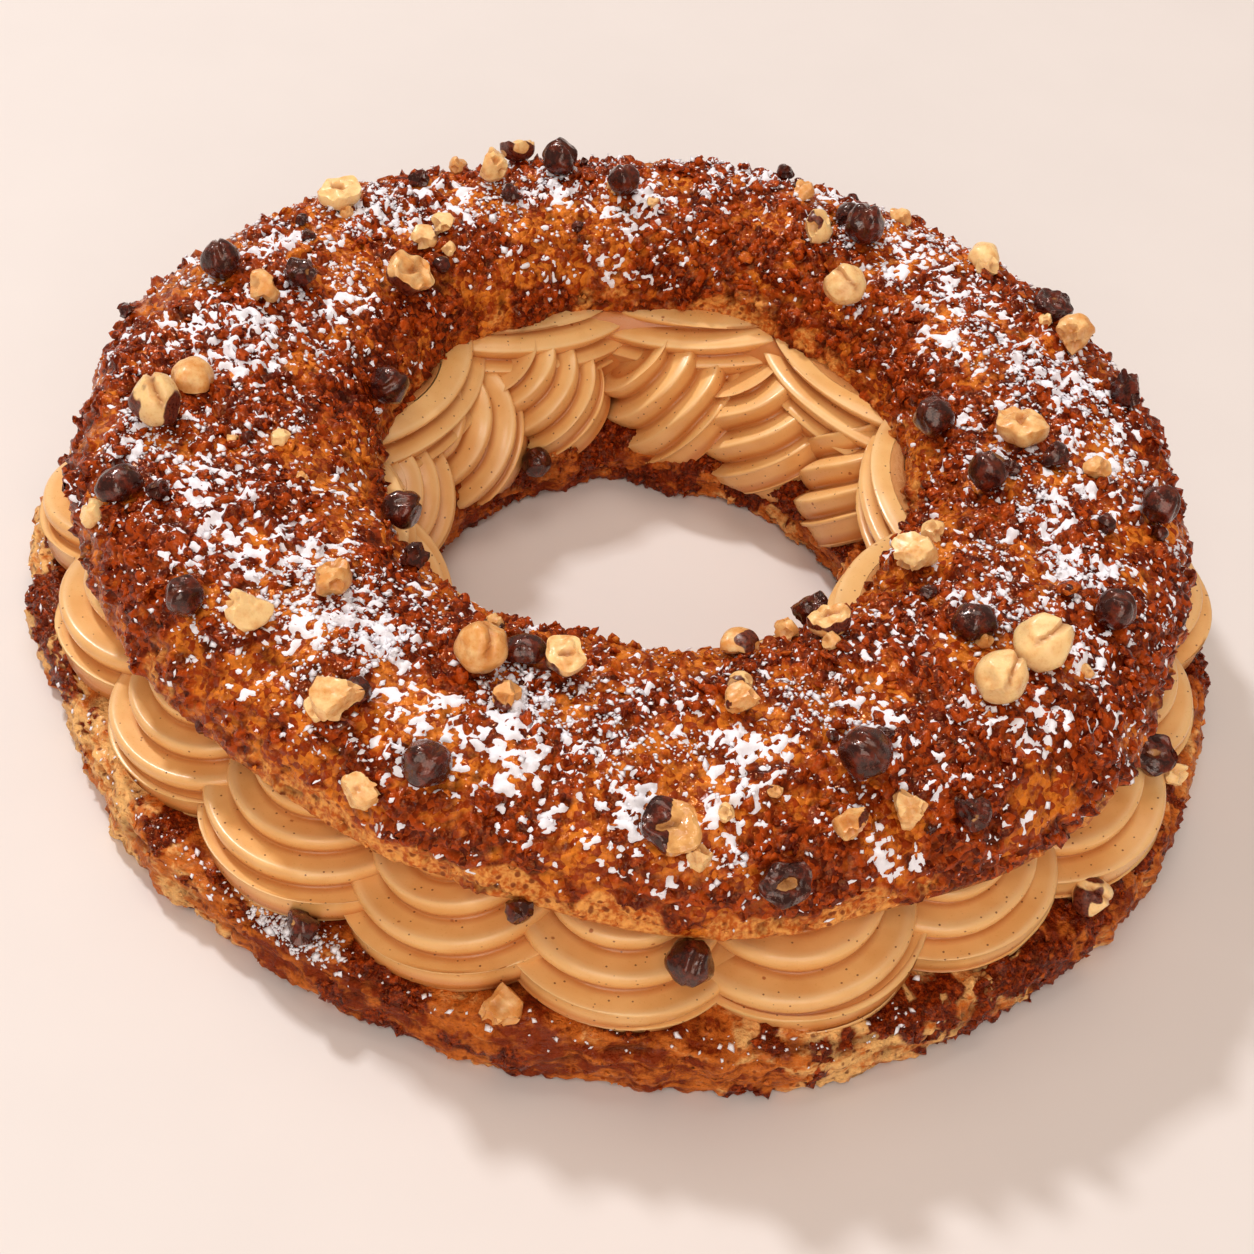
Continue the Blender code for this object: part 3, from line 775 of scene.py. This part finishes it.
def make_cream():
    rng = np.random.default_rng(5)
    parts = [core_ring()]
    low, tall = CREAM_LOW - 0.9, CREAM_TOP - CREAM_LOW + 2.6
    for i in range(SWIRL_COUNT):
        azimuth = SWIRL_FIRST + TAU * i / SWIRL_COUNT
        size = rng.uniform(0.97, 1.05)
        middle = polar(azimuth, base_outer(azimuth) - SWIRL_INSET, low + tall / 2)
        tilt = leaning(azimuth, rng.uniform(-3, 3), rng.uniform(-13, 3))
        parts.append(swirl(
            middle, azimuth, tilt, (21.0 * size, 22.8 * size, 3.0), 0.14, tall, 1.05, rng.uniform(4.4, 5.5),
            rng.uniform(0.6, 1.3), 0.46, 0.06, 0.3, 0.6, 1.0, rng.uniform(0, 1), 48, 100 + 7 * i))
    new_piece("cream_swirls", *gather(parts), cream_material, ["praline_cream"], "praline_cream")
    parts = []
    low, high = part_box("hazelnut_56")
    seat = (low + high) / 2 / MM - Vector(AXIS)
    edge_nut = math.atan2(seat.y, seat.x)
    for i in range(BLOB_COUNT):
        azimuth = BLOB_FIRST + TAU * (i + rng.uniform(-0.12, 0.12)) / BLOB_COUNT
        size = rng.uniform(0.95, 1.05)
        rise = 0.0
        if abs(azimuth - edge_nut) < 0.26:  # the blob under the nut on the hole's edge
            size, rise = 0.84, 3.0
        middle = polar(azimuth - 0.045, base_inner(azimuth) + 14.5, 15.5 + rise)
        tilt = leaning(azimuth, rng.uniform(-4, 4), rng.uniform(36, 46))
        parts.append(swirl(
            middle, azimuth + pi, tilt, (10.0 * size, 17.5 * size, 7.0), 0.4, 35.0, 1.05, rng.uniform(5.0, 5.7),
            rng.uniform(0.5, 1.0), 0.5, -0.18, 0.28, 1.7, 1.15, rng.uniform(0, 1), 44, 300 + 7 * i))
    for i in range(STRAND_COUNT):
        azimuth = STRAND_FIRST + TAU * (i + rng.uniform(-0.1, 0.1)) / STRAND_COUNT
        size = rng.uniform(0.97, 1.04)
        middle = polar(azimuth, lid_inner(azimuth) + 18.0, 29.3)
        tilt = leaning(azimuth, rng.uniform(-3, 3), rng.uniform(-6, 8))
        parts.append(swirl(
            middle, azimuth + pi, tilt, (17.0 * size, 25.5 * size, 16.0), 0.36, 23.0, 1.36, rng.uniform(4.0, 4.6),
            rng.uniform(0.5, 1.0), 0.5, -0.24, 0.3, 2.0, 2.4, rng.uniform(0, 1), 46, 500 + 7 * i))
    points, faces, look = gather(parts)
    points[:, 2] = np.clip(points[:, 2], 3.0, CREAM_TOP + 2.5)
    out = points[:, :2] - AXIS[:2]
    away = np.hypot(out[:, 0], out[:, 1])
    inside = base_inner(np.arctan2(out[:, 1], out[:, 0])) + 3.0 - 8.0 * step(4.0, 11.0, points[:, 2])
    kept = np.where(points[:, 2] < 11.0, np.maximum(away, inside), away)
    points[:, :2] = AXIS[:2] + out * (kept / away)[:, None]
    new_piece("cream_in_hole", points, faces, look, cream_material, ["praline_cream"], "praline_cream")


make_cream()


# ---- crumbs

def lay(grid, normals, row, column, size, sink):
    """Places and normals of things pressed by a share of their size into a surface."""
    place = sample(grid, row, column)
    normal = unit(sample(normals, row, column))
    return place + normal * (size * (0.5 - sink))[:, None], normal


def strew(weight, count, rng):
    """Rows and columns of things strewn at random over a grid by weight."""
    rows, columns = weight.shape
    picked = rng.choice(weight.size, count, p=weight.ravel() / weight.sum())
    row = np.clip(picked // columns + rng.uniform(-0.5, 0.5, count), 0, rows - 1.001)
    return row, picked % columns + rng.uniform(-0.5, 0.5, count)


SHARD = np.array([(1, 0, 0), (-1, 0, 0), (0, 1, 0), (0, -1, 0), (0, 0, 1), (0, 0, -1)], float)
SHARD_FACES = np.array([(0, 2, 4), (2, 1, 4), (1, 3, 4), (3, 0, 4), (2, 0, 5), (1, 2, 5), (3, 1, 5), (0, 3, 5)])


def crumb_pieces(name, grid, normals, look, weight, count, lumps, low, high, seed, stuff, slot):
    """Crumbs strewn on a crust by weight and coloured like it: lumps or angular shards."""
    rng = np.random.default_rng(seed)
    row, column = strew(weight, count, rng)
    size = low + (high - low) * rng.uniform(0, 1, count) ** 2.2
    place, normal = lay(grid, normals, row, column, size, 0.42)
    axes = frames_from(normal + 0.5 * rng.normal(0, 1, (count, 3)), rng)
    sizes = size[:, None] / 2 * rng.uniform(0.65, 1.35, (count, 3))
    sizes[:, 2] *= 0.6
    if lumps:
        shapes, faces = rough_balls(seed)
    else:
        shapes, faces = SHARD[None] * rng.uniform(0.55, 1.35, (24, 6, 1)), SHARD_FACES
    looks = sample(look, row, column)
    looks[:, 0] = np.clip(looks[:, 0] + rng.normal(0, 0.25, count), 0, 1)
    looks[:, 2] = 0
    points, faces, look = scatter(shapes, faces, place, axes, sizes, looks, rng)
    points[:, 2] = np.maximum(points[:, 2], 0.02)
    new_piece(name, points, faces, look, stuff, (), slot, smooth=lumps)


crumb_pieces("lid_crumbs_large", lid_final, lid_normal, lid_look,
             (0.4 + lid_look[..., 0]) * step(1.02, 0.9, np.abs(lid_across)), 1150, True, 1.5, 3.4, 71,
             crust_material, "caramelised_choux")
crumb_pieces("lid_crumbs_small", lid_final, lid_normal, lid_look, 0.9 + lid_look[..., 0], 3600, False, 0.8, 2.0,
             72, crust_material, "caramelised_choux")
base_edge = (np.abs(base_across) > 0.5) * (0.35 + base_look[..., 0]) * step(0.5, 3.0, base_final[..., 2])
crumb_pieces("base_crumbs", base_final, base_normal, base_look, base_edge, 2600, False, 0.9, 2.4, 73, base_material,
             "baked_choux")


# ---- hazelnuts

def kernel(cut, seed, levels=3):
    """Points, triangles, skin and depth of one hazelnut piece about the origin, its top along +Z; the depth is also
    painted as shade.
    """
    points, faces = ball(levels)
    shift = seed * np.array([1.9, 2.3, 0.7])
    rng = np.random.default_rng(seed)

    def uneven(size, number):
        return noise(points + shift, size, seed + number)

    angle = np.arctan2(points[:, 1], points[:, 0])
    skin = step(-0.1, 0.45, uneven(0.8, 0) + 0.1)
    depth_and_shade = np.zeros(len(points))
    reach = np.hypot(points[:, 0], points[:, 1])
    radius = 1 + 0.07 * uneven(0.9, 0) + 0.035 * uneven(0.4, 1)
    if cut == "whole":
        radius += 0.03 * np.cos(angle * 5 + seed) * reach
        radius += 0.14 * np.clip(points[:, 2], 0, 1) ** 6
        bend = points[:, 0] + 0.25 * points[:, 1] ** 2 - 0.05
        groove = np.exp(-((bend / 0.12) ** 2)) * step(-0.1, 0.5, points[:, 2])
        radius *= 1 - 0.2 * groove
        radius += 0.08 * uneven(0.6, 4)
        rough = 0.06 * uneven(0.4, 2)
        for _ in range(5):
            way = unit(rng.normal(0, 1, 3))
            radius = np.minimum(radius, rng.uniform(0.84, 0.95) / np.clip(points @ way, 0.05, 1) + rough)
        depth_and_shade = groove * 0.9
    elif cut == "chip":
        for _ in range(6):
            way = unit(rng.normal(0, 1, 3))
            facet = rng.uniform(0.5, 0.82) / np.clip(points @ way, 0.05, 1)
            broken = facet < radius
            radius, skin = np.where(broken, facet, radius), np.where(broken, 0, skin)
        for _ in range(8):
            way = unit(rng.normal(0, 1, 3))
            bite = rng.uniform(0.2, 0.5)
            centre = way * (rng.uniform(0.4, 0.68) + bite)
            along = points @ centre
            inside = along ** 2 - centre @ centre + bite ** 2
            hit = along - np.sqrt(np.clip(inside, 0, None))
            bitten = (inside > 0) & (along > 0) & (hit < radius)
            radius = np.where(bitten, hit, radius)
            skin = np.where(bitten, 0, skin)
            depth_and_shade = np.where(bitten, step(0.9, 0.35, hit) * 0.6, depth_and_shade)
        radius = radius + 0.06 * uneven(0.4, 6) + 0.03 * uneven(0.2, 7)
    shape = points * radius[:, None]
    if cut == "half":
        flat = points[:, 2] > 0
        slit = np.hypot(points[:, 0] * 0.8, points[:, 1] * 1.7)
        hollow = step(0.5, 0.15, slit + 0.12 * uneven(0.5, 3))
        edge = 0.16 * noise(points * 2 + shift, 0.8, seed)
        shape[:, 2] = np.where(flat, 0.2 + edge - 0.32 * hollow + 0.22 * (1 - reach), shape[:, 2] * 0.8)
        shape[:, :2] *= (1 + 0.1 * np.cos(2 * angle + seed) + 0.07 * np.cos(5 * angle + 2 * seed))[:, None]
        skin = np.where(flat, step(0.9, 1.0, reach) * skin, skin)
        depth_and_shade = np.where(flat, hollow, 0)
    return shape, faces, skin, depth_and_shade


# How each hazelnut of the CAD is cut, by its number: the others are broken chips
WHOLE = (4, 5, 7, 8, 13, 15, 16, 17, 19, 21, 26, 34, 35, 40, 41, 43, 45, 47, 52, 53, 56)
HALF = (1, 3, 9, 10, 14, 20, 23, 28, 29, 31, 32, 33, 42, 44, 49, 55)
# Halves that lie cut face down
FACE_DOWN = (9, 28, 42, 44, 20, 33)
# The half whose rim is dark on one side and bare on the other
TWO_TONED = 31


def make_nuts():
    slots = {part["node"]: part["material_slot"] for part in frame["record"]["subparts"]}
    for node in sorted(n for n in frame["nodes"] if n.startswith("hazelnut_")):
        number = int(node.split("_")[1])
        low, high = (np.array(v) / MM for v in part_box(node))
        middle = (low + high) / 2
        reach = float(np.cbrt(np.prod(high - low))) / 2
        cut = "whole" if number in WHOLE else "half" if number in HALF else "chip"
        if number > 49:
            out = np.append(middle[:2] - AXIS[:2], 0.0)
            way = Vector(out if number != 56 else -out).normalized() + Vector((0, 0, 0.6))
        else:
            way = Vector(lid_tree.find_nearest(Vector(middle))[1])
        rng = np.random.default_rng(700 + number)
        way = np.array(way.normalized()) + rng.normal(0, 0.16, 3)
        if number in FACE_DOWN:
            way = -way
        axes = frames_from(way[None], rng)[0]
        shape, faces, skin, depth_and_shade = kernel(cut, 40 + number)
        span = shape.max(0) - shape.min(0)
        grow = 1.13 * reach * 2 / np.cbrt(np.prod(span))
        shape = shape - (shape.max(0) + shape.min(0)) / 2
        points = (shape * grow) @ axes.T + middle
        light = slots[node] == "blanched_hazelnut"
        tone = rng.uniform(0, 1)
        if light:
            look = shares(skin * rng.uniform(0.0, 0.75), depth_and_shade, tone)
        else:
            bare = np.clip(depth_and_shade * 1.5, 0, 1) if cut != "whole" else 0.35 * (1 - skin)
            if number == TWO_TONED:
                bare = np.maximum(depth_and_shade, step(-0.1, 0.1, (points[:, 0] - middle[0]) / reach)) * 2
            look = shares(bare * rng.uniform(0.5, 1.0), depth_and_shade, tone)
        new_piece(f"nut_{number:02d}", points, faces, look, kernel_material if light else skin_material,
                  [node], slots[node], sharp=None if cut == "whole" and not light else 32)


make_nuts()


def nut_bits():
    """Bits of nut on the lid that are too small to be nodes."""
    rng = np.random.default_rng(91)
    degrees = np.concatenate([
        [130, 122, 119, 78, 74, 66, 61, 46, 2, 3, 230, 250, 257, 240, 243, 279, 264, 303, 300, 286, 202, 205, 138, 133,
         352, 342],
        rng.uniform(0, 360, 34)])
    across = np.concatenate([
        [0.4, 0.7, -0.1, 0.7, 0.2, 0.1, 0.5, 0.4, 0.2, -0.1, -0.7, -0.5, 0.1, 0.7, 0.5, 0.8, 1.0, -0.5, -0.8, -0.3, 0.9,
         0.5, -0.4, -0.3, 0.3, -0.7],
        rng.uniform(-0.85, 0.9, 34)])
    size = np.concatenate([rng.uniform(4.5, 6.5, 26), rng.uniform(2.6, 4.4, 34)])
    light = np.concatenate([
        [0, 1, 0, 0, 1, 0, 1, 1, 1, 0, 0, 1, 1, 1, 0, 1, 0, 1, 1, 1, 1, 0, 1, 1, 0, 1], rng.integers(0, 2, 34)]) > 0
    row, column = on_lid(degrees, across)
    place, normal = lay(lid_final, lid_normal, row, column, size, 0.2)
    for name, picked, slot, stuff in (
            ("nut_bits_light", light, "blanched_hazelnut", kernel_material),
            ("nut_bits_dark", ~light, "roasted_hazelnut", skin_material)):
        parts = []
        for i in np.flatnonzero(picked):
            shape, faces, skin, depth_and_shade = kernel("chip", 900 + int(i), 2)
            span = shape.max(0) - shape.min(0)
            axes = frames_from(normal[i][None] + rng.normal(0, 0.5, (1, 3)), rng)[0]
            points = (shape * size[i] / span.max()) @ axes.T + place[i]
            tone = rng.uniform(0, 1)
            share = skin * rng.uniform(0, 0.7) if stuff is kernel_material else np.clip(depth_and_shade, 0, 1) * 0.6
            parts.append((points, faces, shares(share, depth_and_shade, tone)))
        new_piece(name, *gather(parts), stuff, (), slot, sharp=32)


nut_bits()


# ---- icing sugar

# Drifts of icing sugar: azimuth in degrees, place across the band and width in millimetres
DRIFTS = (
    (350, 0.0, 13), (42, -0.1, 14), (36, -0.5, 9), (30, 0.1, 12), (205, 0.3, 12), (232, 0.2, 16), (238, 0.1, 13),
    (252, 0.5, 14), (262, 0.5, 15), (258, 0.2, 11), (172, 0.1, 14), (180, 0.0, 12), (196, 0.6, 9), (214, 0.3, 12),
    (300, 0.2, 10), (318, 0.6, 9), (330, 0.5, 9), (328, -0.3, 9), (285, 0.2, 11), (282, 0.5, 9), (296, 0.9, 7),
    (84, 0.4, 11), (98, -0.3, 10), (130, 0.0, 13), (140, 0.1, 14), (112, -0.1, 12), (20, 0.2, 13), (8, 0.3, 11),
    (342, 0.2, 11), (55, 0.2, 12), (70, 0.5, 10), (152, 0.3, 12), (272, 0.6, 11), (222, 0.0, 11), (160, -0.4, 10),)
# The spacing of the sugar's own points as a share of the lid's
SUGAR_STEP = 0.5


def sugar_layers():
    """Patches of sugar: the crust's own surface again, lifted where sugar lies and sunk elsewhere."""
    fine_rows = int(LID_ROWS * 0.76 / SUGAR_STEP)
    fine_columns = int(LID_COLUMNS * 0.8 / SUGAR_STEP)
    row, column = (part.ravel() for part in np.meshgrid(
        np.linspace(6, LID_ROWS - 7, fine_rows), np.arange(fine_columns) * LID_COLUMNS / fine_columns, indexing="ij"))
    place = sample(lid_final, row, column)
    normal = sample(lid_normal, row, column)
    across = np.interp(row, np.arange(LID_ROWS), lid_across[:, 0])
    cover = -0.7 + 0.28 * noise(place, 14, 61) + 0.12 * np.exp(-((across - 0.15) / 0.5) ** 2)
    for degrees, across, width in DRIFTS:
        r0, c0 = on_lid([degrees], [across])
        apart = np.linalg.norm(place - sample(lid_final, r0, c0), axis=1)
        cover = np.maximum(cover, 0.16 - 0.75 * (apart / width) ** 1.4)
    cover += noises(place, (0.45, 2.2, 63), (1.0, 1.15, 64), (0.35, 5.0, 65))
    cover += 0.15 * (np.clip(normal[:, 2], 0, 1) - 1)
    points = place + normal * np.clip(cover, -0.35, 0.55)[:, None]
    quads = grid_faces(fine_rows, fine_columns, False)
    quads = quads[(cover[quads] > 0.0).any(1)]
    used, again = np.unique(quads, return_inverse=True)
    return points[used], again.reshape(quads.shape)


def make_sugar():
    rng = np.random.default_rng(17)
    points, quads = sugar_layers()
    new_piece("icing_sugar_drifts", points, quads, np.ones((len(points), 4)), sugar_material)
    cloud = noises(lid_final.reshape(-1, 3), (0.6, 12, 61), (0.4, 5, 62)).reshape(lid_across.shape)
    cloud = step(-0.35, 0.5, cloud)
    band = np.exp(-((lid_across - 0.15) / 0.62) ** 2)
    spread = np.linalg.norm(np.roll(lid_final, -1, 1) - lid_final, axis=-1)
    weight = (0.08 + cloud ** 2) * band * spread * np.clip(lid_normal[..., 2], 0.05, 1)
    count, on_base = 7800, 650
    size = np.clip(rng.lognormal(-0.25, 0.5, count + on_base), 0.3, 2.0)
    row, column = strew(weight, count, rng)
    place, normal = lay(lid_final, lid_normal, row, column, size[:count], 0.3)
    p = base_final.reshape(-1, 3)
    turned = np.degrees(np.angle(np.exp(1j * (np.arctan2(p[:, 1] - AXIS[1], p[:, 0] - AXIS[0]) - radians(243)))))
    weight = (np.exp(-((turned / 4.5) ** 2)) + 0.03 * (np.abs(turned) < 60)).reshape(base_across.shape)
    row, column = strew(weight * (base_across > 0.5) * step(9.5, 12.5, base_final[..., 2]), on_base, rng)
    more_place, more_normal = lay(base_final, base_normal, row, column, size[count:], 0.3)
    place, normal = np.concatenate([place, more_place]), np.concatenate([normal, more_normal])
    place = place + normal * 0.2
    axes = frames_from(normal + 0.3 * rng.normal(0, 1, place.shape), rng)
    sizes = size[:, None] / 2 * rng.uniform(0.6, 1.3, place.shape)
    sizes[:, 2] *= 0.4
    shapes = SHARD[None] * rng.uniform(0.6, 1.3, (24, 6, 1))
    points, faces, look = scatter(shapes, SHARD_FACES, place, axes, sizes, np.ones((len(place), 4)), rng)
    new_piece("icing_sugar_specks", points, faces, look, sugar_material)


make_sugar()


# ---- floor, light and camera

def build_floor(web):
    web.finish(web.mix(web.noise(40.0), srgb(223, 216, 211), srgb(228, 221, 216)))


floor_mesh = bpy.data.meshes.new("floor")
floor_mesh.from_pydata([(-3, -3, 0), (3, -3, 0), (3, 3, 0), (-3, 3, 0)], [], [(0, 1, 2, 3)])
floor_mesh.materials.append(material("floor_board", 0.6, build_floor))
floor = add_object("floor", floor_mesh)


# Where the lights point and how far off they are, in metres
LIT_PLACE = Vector((0, 0, 0.03))
LIGHT_DISTANCE = 3.0


def area_light(name, azimuth, elevation, size, power, colour):
    light = bpy.data.lights.new(name, "AREA")
    light.energy = power
    light.size = size
    light.color = colour
    item = add_object(name, light)
    a, e = radians(azimuth), radians(elevation)
    item.location = LIGHT_DISTANCE * Vector((cos(a) * cos(e), sin(a) * cos(e), sin(e)))
    item.rotation_euler = (LIT_PLACE - item.location).to_track_quat("-Z", "Y").to_euler()


area_light("key", 135, 50, 0.24, 46, (0.96, 0.97, 1.0))
area_light("softbox", 100, 75, 1.4, 17, (1.0, 0.93, 0.87))
area_light("front_top", 262, 60, 0.7, 14, (1.0, 0.95, 0.9))
area_light("front_fill", 275, 28, 2.0, 36, (1.0, 0.92, 0.85))
world = bpy.data.worlds.new("soft_room")
world.use_nodes = True
room = world.node_tree.nodes["Background"]
room.inputs["Color"].default_value = (1.0, 0.79, 0.67, 1)
room.inputs["Strength"].default_value = 0.38
bpy.context.scene.world = world
bpy.context.scene.view_settings.view_transform = "Standard"

CAMERA_ELEVATION = 44
CAMERA_ROLL = 8
# Where the camera stands from the middle of the ring: rightward, upward and back, in metres
CAMERA_PLACE = Vector((-0.0004, -0.0014, 0.5266))
optics = bpy.data.cameras.new("camera")
optics.sensor_width = 36
optics.lens = 66.0
optics.clip_start = 0.01
camera = add_object("camera", optics)
view = Matrix.Rotation(radians(90 - CAMERA_ELEVATION), 4, "X") @ Matrix.Translation(CAMERA_PLACE)
camera.matrix_world = Matrix.Translation(Vector(AXIS) * MM) @ view @ Matrix.Rotation(radians(CAMERA_ROLL), 4, "Z")
bpy.context.scene.camera = camera
